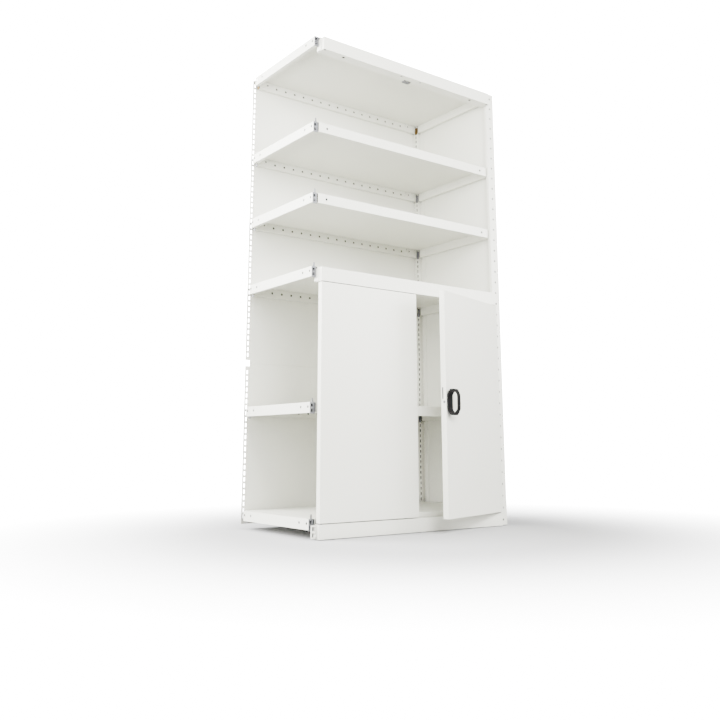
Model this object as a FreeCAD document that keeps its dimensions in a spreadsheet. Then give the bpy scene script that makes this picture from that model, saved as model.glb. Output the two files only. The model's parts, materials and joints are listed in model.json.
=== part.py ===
import FreeCAD, Part
import os
import re
import Sketcher

# Add-on bay of sheet-steel shelving with a two-door cupboard below.
# +X runs along the bay, +Y to the back, +Z up. The origin is on the floor, in the
# middle of the bay, in the plane of the uprights' front faces.

doc = FreeCAD.newDocument("shelving_bay")
sheet = doc.addObject("Spreadsheet::Sheet", "Sizes")

sizes = {
    # whole bay
    "bay_pitch": 1000,
    "frame_depth": 540,
    "frame_height": 2000,
    "cabinet_height": 1025,
    "grid_pitch": 25,
    "metal": 1,
    "slip": 0.1,
    "overrun": 5,
    # uprights and end wall
    "post_width": 45,
    "post_wall": 1.5,
    "front_post_depth": 14,
    "rear_post_depth": 28,
    "web_depth": 26,
    "foot_height": 3,
    "post_hole_radius": 4.5,
    "post_hole_pitch": 50,
    "slot_width": 8,
    "slot_height": 14,
    "rear_slot_inset": 7,
    "panel_metal": 1,
    "panel_grip": 8,
    "panel_floor_gap": 20,
    "panel_top_gap": 10,
    # shelves
    "shelf_base": 75,
    "cupboard_share": 0.447368,
    "open_gap_share": 0.307692,
    "skirt_height": 40,
    "shelf_front": 12,
    "shelf_rear_gap": 0.5,
    "edge_box": 15,
    "shelf_gap": 0.5,
    "end_skirt_gap": 3,
    "row_margin": 125,
    "row_pitch": 50,
    "row_hole_radius": 5,
    "front_hole_inset": 41,
    "end_hole_near": 15,
    "end_hole_rear": 10,
    "end_hole_drop": 17,
    "gusset_width": 66,
    "gusset_height": 26,
    "gusset_chamfer": 8,
    "gusset_hole_radius": 4,
    "gusset_hole_inset": 16,
    # shelf clips
    "clip_metal": 2,
    "clip_height": 44,
    "clip_side_leg": 25,
    "clip_gap": 0.5,
    "tab_height": 16,
    "tab_width": 8,
    "tab_taper": 1.5,
    "clip_window_width": 11,
    "clip_window_height": 13,
    "clip_window_drop": 6,
    "clip_window_pitch": 18,
    "rear_clip_drop": 12,
    "rear_clip_height": 36,
    "rear_clip_reach": 15,
    "rear_clip_hole_radius": 4,
    # back panels
    "back_overlap": 14.5,
    "back_floor_gap": 20,
    "lower_back_height": 668,
    "back_joint_gap": 2,
    "back_joint_lap": 14,
    "back_slot_inset": 10.5,
    "back_slot_width": 7,
    "back_slot_height": 16,
    "back_notch_width": 22,
    "back_notch_height": 13,
    "back_hole_inset": 36,
    "back_hole_radius": 6.5,
    "screw_radius": 2.4,
    "screw_length": 9,
    "screw_head_radius": 5,
    "screw_head_height": 2.5,
    # fascias and plinth
    "fascia_proud": 20,
    "fascia_height": 55,
    "fascia_top_drop": 10,
    "cabinet_fascia_drop": 6,
    "fascia_flange": 46,
    "fascia_end_depth": 28,
    "plinth_gap": 3,
    "plinth_height": 53,
    "plinth_foot": 40,
    "pad_width": 40,
    "pad_depth": 24,
    "pad_setback": 8,
    "pad_end_gap": 55,
    "bracket_metal": 2.5,
    "bracket_depth": 14,
    "end_plate_depth": 28,
    "bracket_flange": 13,
    "bracket_margin": 3,
    "window_flange": 24,
    "bracket_window_width": 15,
    "bracket_window_height": 15,
    "bracket_window_inset": 4.5,
    "bracket_window_pitch": 22,
    "spare_hole_place": 364.5,
    "spare_hole_inset": 18,
    "spare_hole_radius": 7,
    "latch_slot_width": 40,
    "latch_slot_depth": 7,
    "latch_slot_inset": 35.5,
    "catch_depth": 18,
    "catch_metal": 2,
    "catch_nose": 5,
    # doors
    "door_gap": 4,
    "door_meeting_gap": 2,
    "door_side_gap": 1.5,
    "door_thickness": 23,
    "door_back_gap": 1,
    "door_lip": 12,
    "ajar_angle": 18,
    "pin_inset": 11.5,
    "pin_radius": 3,
    "pin_running_gap": 0.05,
    "pin_seat": 24,
    "pin_reach": 6,
    "collar_radius": 7,
    "collar_height": 4,
    "bush_radius": 5,
    "bush_rim_radius": 6.2,
    "bush_rim_height": 2.7,
    "stiffener_width": 60,
    "stiffener_depth": 15,
    "stiffener_margin": 30,
    "strip_seat": 13,
    "strip_lap": 14,
    "strip_clear": 0.5,
    "strip_margin": 8,
    "rivet_radius": 3,
    "rivet_height": 1.2,
    # handle and lock
    "handle_level": 509,
    "handle_inset": 23,
    "handle_width": 36,
    "handle_height": 104,
    "handle_proud": 46,
    "handle_base": 7,
    "handle_bow": 4,
    "handle_bow_width": 23,
    "handle_end": 11,
    "handle_chamfer": 13,
    "handle_chamfer_rise": 24,
    "handle_gap": 0.3,
    "spindle_radius": 6,
    "spindle_length": 20,
    "spindle_bush_radius": 9,
    "cam_radius": 15,
    "cam_arm": 26,
    "cam_arm_height": 12,
    "cam_thickness": 5,
    "case_width": 60,
    "case_height": 84,
    "case_metal": 1.5,
    "case_edge_gap": 5.5,
    "case_back_gap": 1.3,
    "case_screw_inset": 6,
    "case_screw_rise": 28,
    "case_screw_radius": 4,
    "case_screw_height": 2.5,
    "bolt_radius": 5,
    "bolt_length": 16.5,
    "bolt_proud": 1.2,
    "bolt_forward": 3,
    "bolt_gap": 0.2,
    "strike_radius": 7,
    "slit_width": 6,
    "slit_height": 46,
    "slit_rise": 12,
    "slit_back": 7,
    "rod_place": 54.7,
    "rod_radius": 4,
    "rod_back": 5,
    "rod_gap": 0.4,
    "rod_start": 29,
    "rod_tip_gap": 0.5,
    "guide_width": 20,
    "guide_height": 12,
    "guide_share": 0.5,
}

for line, (name, size) in enumerate(sizes.items(), start=1):
    sheet.set(f"A{line}", name)
    sheet.set(f"B{line}", str(size))
    sheet.setAlias(f"B{line}", name)
doc.recompute()


def cells(text):
    """Turn a formula in size names into one that reads the sheet."""
    return re.sub(r"[a-z_]+", lambda word: f"Sizes.{word[0]}" if word[0] in sizes else word[0], text)


def bind(thing, prop, text):
    thing.setExpression(prop, cells(text))


# Places that several pieces share
HALF_BAY = "(bay_pitch / 2)"
WEB_SLOT = "(panel_metal / 2 + slip)"
WEB_HALF = f"({WEB_SLOT} + post_wall)"
POST_INNER = f"({HALF_BAY} - post_width / 2)"
SHELF_END = f"({HALF_BAY} - {WEB_HALF} - shelf_gap)"
SHELF_REAR = "(frame_depth - shelf_rear_gap)"
REAR_WALL = f"({SHELF_REAR} - edge_box)"
END_WALL = f"({SHELF_END} - edge_box)"
SKIRT_HALF = f"({POST_INNER} - bracket_metal - shelf_gap)"
END_FRONT = "(front_post_depth + end_skirt_gap)"
END_REAR = "(frame_depth - rear_post_depth - end_skirt_gap)"
REAR_POST_FACE = "(frame_depth - rear_post_depth - slip)"
ROW_COUNT = "(floor((bay_pitch - 2 * row_margin) / row_pitch) + 1)"
ROW_HALF = f"(({ROW_COUNT} - 1) * row_pitch / 2)"
MIDDLE = "(shelf_base + grid_pitch * round((cabinet_height - shelf_base) * cupboard_share / grid_pitch))"
OPEN_GAP = "(grid_pitch * round((frame_height - cabinet_height) * open_gap_share / grid_pitch))"
SHELF_LEVELS = [
    "shelf_base",
    MIDDLE,
    "cabinet_height",
    f"(cabinet_height + {OPEN_GAP})",
    f"(cabinet_height + 2 * {OPEN_GAP})",
    "frame_height",
]
BACK_JOINT = "(back_floor_gap + lower_back_height)"
FASCIA_HALF = f"({POST_INNER} - bracket_metal)"
TOP_FASCIA = "(frame_height - fascia_top_drop - fascia_height)"
CABINET_FASCIA = "(cabinet_height - cabinet_fascia_drop - fascia_height)"
PLINTH_TOP = "(plinth_gap + plinth_height)"
DOOR_LOW = f"({PLINTH_TOP} + door_gap)"
DOOR_HIGH = f"({CABINET_FASCIA} - door_gap)"
PIN_X = f"({POST_INNER} - door_side_gap - pin_inset)"
PIN_Y = "(-door_back_gap - door_thickness / 2)"
# In a door's own frame: origin on the pin, closed door along X
FREE_EDGE = f"({PIN_X} - door_meeting_gap / 2)"
DOOR_FACE = "(door_thickness / 2)"
SHEET_IN = f"({DOOR_FACE} - metal)"
HANDLE_X = f"({FREE_EDGE} - handle_inset)"
ROD_X = f"({PIN_X} - rod_place)"
CASE_X = f"({FREE_EDGE} - case_edge_gap)"
CASE_BACK = f"({DOOR_FACE} - case_back_gap)"


def new_body(label):
    body = doc.addObject("PartDesign::Body", label)
    body.Label = label
    return body


def new_sketch(body, plane, start):
    """A sketch on one of the body's origin planes, moved along the plane's own axis to start."""
    sketch = body.newObject("Sketcher::SketchObject", f"{body.Label}_sketch")
    origin = next(f for f in body.Origin.OriginFeatures if f.Role == f"{plane}_Plane")
    sketch.AttachmentSupport = [(origin, "")]
    sketch.MapMode = "FlatFace"
    bind(sketch, "AttachmentOffset.Base.z", f"-({start})" if plane == "XZ" else start)
    return sketch


def fix_point(sketch, shape, point, x, y):
    for kind, text in (("DistanceX", x), ("DistanceY", y)):
        number = sketch.addConstraint(Sketcher.Constraint(kind, -1, 1, shape, point, 1.0))
        bind(sketch, f"Constraints[{number}]", text)


def outline(sketch, points):
    """A closed run of straight lines through points given as formulas."""
    first = sketch.GeometryCount
    count = len(points)
    turn = [FreeCAD.Rotation(FreeCAD.Vector(0, 0, 1), 360.0 * i / count) for i in range(count)]
    corners = [r.multVec(FreeCAD.Vector(1, 0, 0)) for r in turn]
    for i in range(count):
        sketch.addGeometry(Part.LineSegment(corners[i], corners[(i + 1) % count]))
    for i in range(count):
        sketch.addConstraint(Sketcher.Constraint("Coincident", first + i, 2, first + (i + 1) % count, 1))
    for i, (x, y) in enumerate(points):
        fix_point(sketch, first + i, 1, x, y)


def rectangle(x0, y0, x1, y1):
    return [(x0, y0), (x1, y0), (x1, y1), (x0, y1)]


def circle(sketch, x, y, radius):
    shape = sketch.addGeometry(Part.Circle(FreeCAD.Vector(1, 1, 0), FreeCAD.Vector(0, 0, 1), 1.0))
    number = sketch.addConstraint(Sketcher.Constraint("Radius", shape, 1.0))
    bind(sketch, f"Constraints[{number}]", radius)
    fix_point(sketch, shape, 3, x, y)


def draw(body, plane, start, outlines, circles):
    sketch = new_sketch(body, plane, start)
    for points in outlines:
        outline(sketch, points)
    for x, y, radius in circles:
        circle(sketch, x, y, radius)
    return sketch


def add(body, plane, start, length, outlines=(), circles=()):
    """Grow material from start, length along the plane's axis."""
    sketch = draw(body, plane, start, outlines, circles)
    pad = body.newObject("PartDesign::Pad", f"{body.Label}_pad")
    pad.Profile = sketch
    bind(pad, "Length", length)
    pad.Reversed = plane == "XZ"
    doc.recompute()
    return pad


def cut(body, plane, start, length, outlines=(), circles=()):
    """Remove material from start, length along the plane's axis."""
    sketch = draw(body, plane, start, outlines, circles)
    pocket = body.newObject("PartDesign::Pocket", f"{body.Label}_pocket")
    pocket.Profile = sketch
    bind(pocket, "Length", length)
    pocket.Reversed = plane != "XZ"
    doc.recompute()
    return pocket


def repeat(body, feature, axis, spacing, count):
    """Repeat a cut along its sketch's horizontal (H) or vertical (V) axis."""
    pattern = body.newObject("PartDesign::LinearPattern", f"{body.Label}_row")
    pattern.Originals = [feature]
    pattern.Direction = (feature.Profile[0], [f"{axis}_Axis"])
    pattern.Mode = "Spacing"
    bind(pattern, "Offset", spacing)
    bind(pattern, "Occurrences", count)
    body.Tip = pattern
    doc.recompute()


def lift(body, level):
    bind(body, "Placement.Base.z", level)
    return body


def hang(body, side):
    """Set a piece drawn in a door's own frame on that door's pin, the right door ajar."""
    bind(body, "Placement.Base.x", f"{side} * {PIN_X}")
    bind(body, "Placement.Base.y", PIN_Y)
    if side > 0:
        body.Placement = FreeCAD.Placement(FreeCAD.Vector(), FreeCAD.Rotation(FreeCAD.Vector(0, 0, 1), 1))
        bind(body, "Placement.Rotation.Angle", "ajar_angle * 1 deg")
    return body


def mirrored(body):
    """The left-hand copy of a right-hand piece."""
    copy = doc.addObject("Part::Mirroring", f"{body.Label}_left")
    copy.Source = body
    copy.Normal = FreeCAD.Vector(1, 0, 0)
    return copy


def group(label, pieces):
    node = doc.addObject("Part::Compound", label)
    node.Label = label
    node.Links = pieces
    return node


def both_ends(label, right):
    return group(label, [right, mirrored(right)])


# Uprights and end wall

def upright(label, depth, at_front):
    """One roll-formed post: a flat box with two webs that grip the end wall."""
    body = new_body(label)
    bind(body, "Placement.Base.x", HALF_BAY)

    def y(inward):
        return inward if at_front else f"frame_depth - ({inward})"

    reach, half, wall = f"{depth} + web_depth", "post_width / 2", "post_wall"
    contour = [
        (WEB_HALF, reach), (WEB_HALF, depth), (half, depth), (half, "0"),
    ]
    inside = [
        (f"{half} - {wall}", wall), (f"{half} - {wall}", f"{depth} - {wall}"),
        (WEB_SLOT, f"{depth} - {wall}"), (WEB_SLOT, reach),
    ]
    right = [(x, y(inward)) for x, inward in contour]
    right_inside = [(x, y(inward)) for x, inward in inside]
    flip = [(f"-({x})", inward) for x, inward in right]
    flip_inside = [(f"-({x})", inward) for x, inward in right_inside]
    points = right + flip[::-1] + flip_inside[::-1] + right_inside
    add(body, "XY", "foot_height", "frame_height - foot_height", [points])

    if at_front:
        holes = cut(body, "XZ", "-overrun", "post_wall + 2 * overrun",
                    circles=[("0", "grid_pitch", "post_hole_radius")])
        repeat(body, holes, "V", "post_hole_pitch",
               "floor((frame_height - 2 * grid_pitch) / post_hole_pitch) + 1")

    # the front post's slots pass through both webs, the rear post's only through its inner side
    if at_front:
        middle, side, through = f"{depth} + (web_depth - panel_grip) / 2", WEB_HALF, f"2 * {WEB_HALF}"
    else:
        middle, side, through = f"{depth} - rear_slot_inset", half, wall
    slot = rectangle(f"{y(middle)} - slot_width / 2", "grid_pitch / 2 - slot_height / 2",
                     f"{y(middle)} + slot_width / 2", "grid_pitch / 2 + slot_height / 2")
    slots = cut(body, "YZ", f"-{side} - overrun", f"{through} + 2 * overrun", [slot])
    repeat(body, slots, "V", "grid_pitch", "floor((frame_height - grid_pitch) / grid_pitch)")
    return body


def foot(label, depth, at_front):
    plate = doc.addObject("Part::Box", label)
    plate.Label = label
    bind(plate, "Length", "post_width")
    bind(plate, "Width", f"{depth} + web_depth")
    bind(plate, "Height", "foot_height")
    bind(plate, "Placement.Base.x", POST_INNER)
    bind(plate, "Placement.Base.y", "0" if at_front else f"frame_depth - {depth} - web_depth")
    return plate


def side_panel():
    plate = doc.addObject("Part::Box", "side_panel")
    front = "(front_post_depth + web_depth - panel_grip)"
    rear = "(rear_post_depth + web_depth - panel_grip)"
    bind(plate, "Length", "panel_metal")
    bind(plate, "Width", f"frame_depth - {front} - {rear}")
    bind(plate, "Height", "frame_height - panel_floor_gap - panel_top_gap")
    bind(plate, "Placement.Base.x", f"{HALF_BAY} - panel_metal / 2")
    bind(plate, "Placement.Base.y", front)
    bind(plate, "Placement.Base.z", "panel_floor_gap")
    return plate


# Shelves and what holds them

def box_edged(low, high):
    """Section of a sheet with both edges folded into boxes, its top at zero."""
    inner_low, inner_high = f"{low} + edge_box", f"{high} - edge_box"
    deck = [
        (low, "0"), (high, "0"), (high, "-skirt_height"), (inner_high, "-skirt_height"),
        (inner_high, "-metal"), (inner_low, "-metal"), (inner_low, "-skirt_height"), (low, "-skirt_height"),
    ]
    hollows = [
        rectangle(f"{near} + metal", "-skirt_height + metal", f"{far} - metal", "-metal")
        for near, far in ((low, inner_low), (inner_high, high))
    ]
    return [deck, *hollows]


def shelf(label, level):
    body = new_body(label)
    add(body, "YZ", f"-{SKIRT_HALF}", f"2 * {SKIRT_HALF}", box_edged("shelf_front", SHELF_REAR))
    add(body, "XZ", END_FRONT, f"{END_REAR} - {END_FRONT}", box_edged(f"-{SHELF_END}", SHELF_END))

    # the deck closes the gaps around each rear post
    corners = []
    for sign in ("", "-"):
        root = f"{sign}({SKIRT_HALF} - metal)"
        beside = f"{sign}({POST_INNER} - slip)"
        end = f"{sign}{SHELF_END}"
        corners.append([
            (root, END_REAR), (end, END_REAR), (end, REAR_POST_FACE), (beside, REAR_POST_FACE),
            (beside, SHELF_REAR), (root, SHELF_REAR),
        ])
    add(body, "XY", "-metal", "metal", corners)

    through = "metal + 2 * overrun"
    front_hole = f"({SKIRT_HALF} - front_hole_inset)"
    middle = "-skirt_height / 2"
    cut(body, "XZ", "shelf_front - overrun", through,
        circles=[(f"{sign}{front_hole}", middle, "row_hole_radius") for sign in ("", "-")])
    near, rear = f"{END_FRONT} + end_hole_near", f"{END_REAR} - end_hole_rear"
    places = [near, f"{near} + row_pitch", f"{rear} - row_pitch", rear]
    for end in (f"-{SHELF_END}", f"{SHELF_END} - metal"):
        cut(body, "YZ", f"{end} - overrun", through,
            circles=[(place, "-end_hole_drop", "row_hole_radius") for place in places])
    cut(body, "XZ", f"{SHELF_REAR} - metal - overrun", through,
        circles=[(f"{sign}{ROW_HALF}", middle, "screw_radius + slip") for sign in ("", "-")])
    row = cut(body, "XZ", f"{REAR_WALL} - overrun", through,
              circles=[(f"-{ROW_HALF}", middle, "row_hole_radius")])
    repeat(body, row, "H", "row_pitch", ROW_COUNT)
    gussets(body)
    return lift(body, level)


def gussets(body):
    """Corner plates on the rear box, under the deck."""
    low, high = "-metal - gusset_height", "-metal"
    plates, holes = [], []
    for sign in ("", "-"):
        root, tip = f"{sign}{SKIRT_HALF}", f"{sign}({SKIRT_HALF} - gusset_width)"
        bevel = f"{sign}({SKIRT_HALF} - gusset_width + gusset_chamfer)"
        place = f"{sign}({SKIRT_HALF} - gusset_width + gusset_hole_inset)"
        corner = (tip, f"{low} + gusset_chamfer")
        plates.append([(root, low), (root, high), (tip, high), corner, (bevel, low)])
        holes.append((place, f"{low} + gusset_height / 2", "gusset_hole_radius"))
    face = f"{REAR_WALL} - clip_metal"
    add(body, "XZ", face, "clip_metal", plates)
    cut(body, "XZ", f"{face} - overrun", "clip_metal + 2 * overrun", circles=holes)


def clip_leg(clip, start, length, top):
    """A leg inside the end box, flat against its inner wall."""
    near, far = f"{END_WALL} + metal", f"{END_WALL} + metal + clip_metal"
    add(clip, "XZ", start, length, [rectangle(near, "-skirt_height + metal + clip_gap", far, top)])


def front_clips(label, level, with_tab):
    """Angle in each front notch: a plate behind the post and a leg inside the end box."""
    clip = new_body(f"{label}_right")
    inner, outer = f"({POST_INNER} + clip_gap)", f"({HALF_BAY} - {WEB_HALF})"
    middle = f"(({inner} + {outer}) / 2)"
    plate = rectangle(inner, "-clip_height", outer, "0")
    if with_tab:
        plate[3:3] = [
            (f"{middle} + tab_width / 2", "0"), (f"{middle} + tab_width / 2 - tab_taper", "tab_height"),
            (f"{middle} - tab_width / 2 + tab_taper", "tab_height"), (f"{middle} - tab_width / 2", "0"),
        ]
    face = f"{END_FRONT} - clip_metal"
    add(clip, "XZ", face, "clip_metal", [plate])
    clip_leg(clip, face, "clip_metal + clip_side_leg", "-metal - clip_gap")
    box = f"({SHELF_END} - edge_box / 2)"
    left, right = f"{box} - clip_window_width / 2", f"{box} + clip_window_width / 2"
    windows = []
    for top in ("-clip_window_drop", "-clip_window_drop - clip_window_pitch"):
        windows.append(rectangle(left, f"{top} - clip_window_height", right, top))
    cut(clip, "XZ", f"{face} - overrun", "clip_metal + overrun", windows)
    return both_ends(label, lift(clip, level))


def rear_brackets(label, level):
    """Plate before each rear post with one leg beside the post and one inside the end box."""
    clip = new_body(f"{label}_right")
    inner, outer = f"({POST_INNER} - slip - clip_metal)", f"({HALF_BAY} - {WEB_HALF})"
    low, high = "-rear_clip_drop - rear_clip_height", "-rear_clip_drop"
    add(clip, "XZ", END_REAR, "clip_metal", [rectangle(inner, "-skirt_height", outer, high)])
    add(clip, "XZ", END_REAR, "rear_clip_reach", [rectangle(inner, low, f"{inner} + clip_metal", high)])
    clip_leg(clip, f"{END_REAR} - clip_side_leg", "clip_metal + clip_side_leg", high)
    cut(clip, "XZ", f"{END_REAR} - overrun", "clip_metal + 2 * overrun",
        circles=[(f"({inner} + {outer}) / 2", f"{high} - rear_clip_height / 2", "rear_clip_hole_radius")])
    return both_ends(label, lift(clip, level))


# Back panels

def back_panel(label, low, high, levels, with_lap):
    body = new_body(label)
    edge = f"({POST_INNER} + back_overlap)"
    start, depth = "frame_depth - overrun", "metal + overrun"
    add(body, "XZ", "frame_depth", "metal", [rectangle(f"-{edge}", low, edge, high)])
    if with_lap:
        # a strip behind the joint that the other panel's edge rests on
        add(body, "XZ", "frame_depth + metal", "metal",
            [rectangle(f"-({edge} - back_notch_width)", f"{high} - back_joint_lap",
                       edge, f"{high} + back_joint_gap + back_joint_lap")])
    cut(body, "XZ", start, depth,
        circles=[(f"{sign}{ROW_HALF}", f"{level} - skirt_height / 2", "screw_radius + slip")
                 for level in levels for sign in ("", "-")])
    # the free left edge has slots and a notch at the joint
    first = f"(grid_pitch * (floor({low} / grid_pitch) + 2))"
    middle = f"({BACK_JOINT} + back_joint_gap / 2)"
    slot = f"-({edge} - back_slot_inset)"
    slots = [rectangle(f"{slot} - back_slot_width / 2", f"{first} - back_slot_height / 2",
                       f"{slot} + back_slot_width / 2", f"{first} + back_slot_height / 2")]
    notches = [rectangle(f"-({edge} + overrun)", f"{middle} - back_notch_height",
                         f"-({edge} - back_notch_width)", f"{middle} + back_notch_height")]
    holes = [(f"-({edge} - back_hole_inset)", middle, "back_hole_radius")]
    cut(body, "XZ", start, depth, notches, holes)
    column = cut(body, "XZ", start, depth, slots)
    repeat(body, column, "V", "grid_pitch", f"floor(({high} - {first} - grid_pitch) / grid_pitch) + 1")
    return body


def along_y(label, radius, length, x, y, z):
    """A cylinder that starts at a point and runs towards -Y."""
    rod = doc.addObject("Part::Cylinder", label)
    rod.Placement.Rotation = FreeCAD.Rotation(FreeCAD.Vector(1, 0, 0), 90)
    bind(rod, "Radius", radius)
    bind(rod, "Height", length)
    bind(rod, "Placement.Base.x", x)
    bind(rod, "Placement.Base.y", y)
    bind(rod, "Placement.Base.z", z)
    return rod


def back_panel_screws():
    """Screws through the back panels into the shelves' rear boxes."""
    screws = []
    back = "(frame_depth + metal)"
    for level in SHELF_LEVELS:
        for sign in ("", "-"):
            x, z = f"{sign}{ROW_HALF}", f"{level} - skirt_height / 2"
            screw = doc.addObject("Part::MultiFuse", "screw")
            screw.Shapes = [
                along_y("screw_shank", "screw_radius", "screw_length", x, back, z),
                along_y("screw_head", "screw_head_radius", "screw_head_height", x,
                        f"{back} + screw_head_height", z),
            ]
            screws.append(screw)
    return group("back_panel_screws", screws)


# Fascias, plinth and their end brackets

def channel(label, level, height, lower_flange):
    """A front strip bent back at the bottom and, up to the shelf, at the top, with closed ends."""
    body = new_body(label)
    front = "-fascia_proud"
    low_back, high_back = f"{front} + {lower_flange}", "shelf_front"
    section = [
        (high_back, height), (front, height), (front, "0"), (low_back, "0"), (low_back, "metal"),
        (f"{front} + metal", "metal"), (f"{front} + metal", f"{height} - metal"),
        (high_back, f"{height} - metal"),
    ]
    add(body, "YZ", f"-{FASCIA_HALF}", f"2 * {FASCIA_HALF}", [section])
    cap = rectangle(front, "0", f"{front} + fascia_end_depth", height)
    for end in (f"-{FASCIA_HALF}", f"{FASCIA_HALF} - metal"):
        add(body, "YZ", end, "metal", [cap])
    return lift(body, level)


def pivot_holes(body, flange):
    """Pivot, rod and spare holes in the flange that faces the doors."""
    circles = []
    for sign in ("", "-"):
        circles.append((f"{sign}{PIN_X}", PIN_Y, "bush_radius + slip"))
        circles.append((f"{sign}rod_place", f"{PIN_Y} + rod_back", "rod_radius + rod_gap"))
        circles.append((f"{sign}spare_hole_place", "-fascia_proud + spare_hole_inset", "spare_hole_radius"))
    cut(body, "XY", f"{flange} - overrun", "metal + 2 * overrun", circles=circles)


def fascia(label, level, shelf_level):
    """A strip whose lower flange turns up again just below the shelf."""
    body = channel(label, level, "fascia_height", "fascia_flange")
    back, rise = "-fascia_proud + fascia_flange", f"{shelf_level} - skirt_height - {level} - clip_gap"
    add(body, "YZ", f"-{FASCIA_HALF}", f"2 * {FASCIA_HALF}",
        [rectangle(f"{back} - metal", "0", back, rise)])
    pivot_holes(body, "0")
    middle = "-fascia_proud + latch_slot_inset"
    slot = rectangle("-latch_slot_width / 2", f"{middle} - latch_slot_depth / 2",
                     "latch_slot_width / 2", f"{middle} + latch_slot_depth / 2")
    cut(body, "XY", "-overrun", "metal + 2 * overrun", [slot])
    return body


def fascia_catches():
    """Small plates under both fascias' flanges, where the doors meet."""
    plates = []
    for level in (TOP_FASCIA, CABINET_FASCIA):
        plate = new_body("catch")
        half, front = "latch_slot_width / 2", "-fascia_proud + latch_slot_inset + latch_slot_depth / 2"
        back = f"{front} + catch_depth"
        shape = [
            (f"-{half}", front), (half, front),
            (half, f"{back} - catch_nose"), (f"{half} - catch_nose", back),
            (f"-{half} + catch_nose", back), (f"-{half}", f"{back} - catch_nose"),
        ]
        add(plate, "XY", "-catch_metal", "catch_metal", [shape])
        plates.append(lift(plate, level))
    return group("fascia_catches", plates)


def plinth():
    body = channel("plinth", "plinth_gap", "plinth_height", "plinth_foot")
    pivot_holes(body, "plinth_height - metal")
    return body


def plinth_pads():
    """Flat pads that carry the plinth just clear of the floor."""
    pads = []
    end = f"({FASCIA_HALF} - pad_end_gap)"
    for place in (f"-{end}", "0", end):
        pad = doc.addObject("Part::Box", "plinth_pad")
        bind(pad, "Length", "pad_width")
        bind(pad, "Width", "pad_depth")
        bind(pad, "Height", "plinth_gap")
        bind(pad, "Placement.Base.x", f"{place} - pad_width / 2")
        bind(pad, "Placement.Base.y", "-fascia_proud + pad_setback")
        pads.append(pad)
    return group("plinth_pads", pads)


def end_plate(label, level, height, depth):
    """Plate between a strip's end and a post."""
    plate = new_body(label)
    add(plate, "YZ", FASCIA_HALF, "bracket_metal",
        [rectangle("-bracket_metal", "bracket_margin", depth, f"{height} - bracket_margin")])
    return lift(plate, level)


def fascia_brackets(label, level):
    return both_ends(label, end_plate(f"{label}_right", level, "fascia_height", "end_plate_depth"))


def plinth_angle(label, flange):
    """An end plate with a flange before the post."""
    angle = end_plate(label, "plinth_gap", "plinth_height", "bracket_depth")
    low, high = "bracket_margin", "plinth_height - bracket_margin"
    add(angle, "XZ", "-bracket_metal", "bracket_metal",
        [rectangle(FASCIA_HALF, low, f"{FASCIA_HALF} + {flange}", high)])
    return angle


def plinth_brackets():
    """The free left end's angle has a wider flange with two windows."""
    right = plinth_angle("plinth_bracket_right", "bracket_flange")
    left = plinth_angle("plinth_bracket_left", "window_flange")
    near = f"{FASCIA_HALF} + bracket_window_inset"
    windows = []
    for sign in ("-", "+"):
        middle = f"plinth_height / 2 {sign} bracket_window_pitch / 2"
        windows.append(rectangle(near, f"{middle} - bracket_window_height / 2",
                                 f"{near} + bracket_window_width", f"{middle} + bracket_window_height / 2"))
    cut(left, "XZ", "-bracket_metal - overrun", "bracket_metal + overrun", windows)
    return group("plinth_brackets", [right, mirrored(left)])


# Doors

def door(label, side):
    """A pan with lips, drawn in its own frame with the pin at the origin."""
    body = new_body(label)
    hinge, free = f"{side} * pin_inset", f"{-side} * {FREE_EDGE}"

    def x(edge, inward, towards):
        return f"{edge} + {towards * side} * ({inward})"

    section = [
        (x(hinge, "door_lip", -1), DOOR_FACE), (hinge, DOOR_FACE), (hinge, f"-{DOOR_FACE}"),
        (free, f"-{DOOR_FACE}"), (free, DOOR_FACE), (x(free, "door_lip", 1), DOOR_FACE),
        (x(free, "door_lip", 1), SHEET_IN), (x(free, "metal", 1), SHEET_IN),
        (x(free, "metal", 1), f"-{SHEET_IN}"), (x(hinge, "metal", -1), f"-{SHEET_IN}"),
        (x(hinge, "metal", -1), SHEET_IN), (x(hinge, "door_lip", -1), SHEET_IN),
    ]
    add(body, "XY", DOOR_LOW, f"{DOOR_HIGH} - {DOOR_LOW}", [section])
    cap = rectangle(hinge, f"-{DOOR_FACE}", free, DOOR_FACE)
    for end in (DOOR_LOW, f"{DOOR_HIGH} - metal"):
        add(body, "XY", end, "metal", [cap])
    upright_holes = [("0", "0", "pin_radius + slip")]
    if side > 0:
        upright_holes.append((f"-{ROD_X}", "rod_back", "rod_radius + rod_gap"))
    cut(body, "XY", f"{DOOR_LOW} - overrun", f"{DOOR_HIGH} - {DOOR_LOW} + 2 * overrun",
        circles=upright_holes)
    return hang(body, side)


def lock_openings(body, side):
    """Holes in a door's free edge for the latch bolt, and the lock's own holes in the right door."""
    edge = f"-{FREE_EDGE} - overrun" if side > 0 else f"{FREE_EDGE} - metal - overrun"
    radius = "bolt_radius + bolt_gap" if side > 0 else "strike_radius"
    cut(body, "YZ", edge, "metal + 2 * overrun", circles=[("-bolt_forward", "handle_level", radius)])
    if side > 0:
        middle = "slit_back - bolt_forward"
        slit = rectangle(f"{middle} - slit_width / 2", "handle_level + slit_rise",
                         f"{middle} + slit_width / 2", "handle_level + slit_rise + slit_height")
        cut(body, "YZ", edge, "metal + 2 * overrun", [slit])
        cut(body, "XZ", f"-{DOOR_FACE} - overrun", "metal + 2 * overrun",
            circles=[(f"-{HANDLE_X}", "handle_level", "spindle_bush_radius + slip")])


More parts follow.
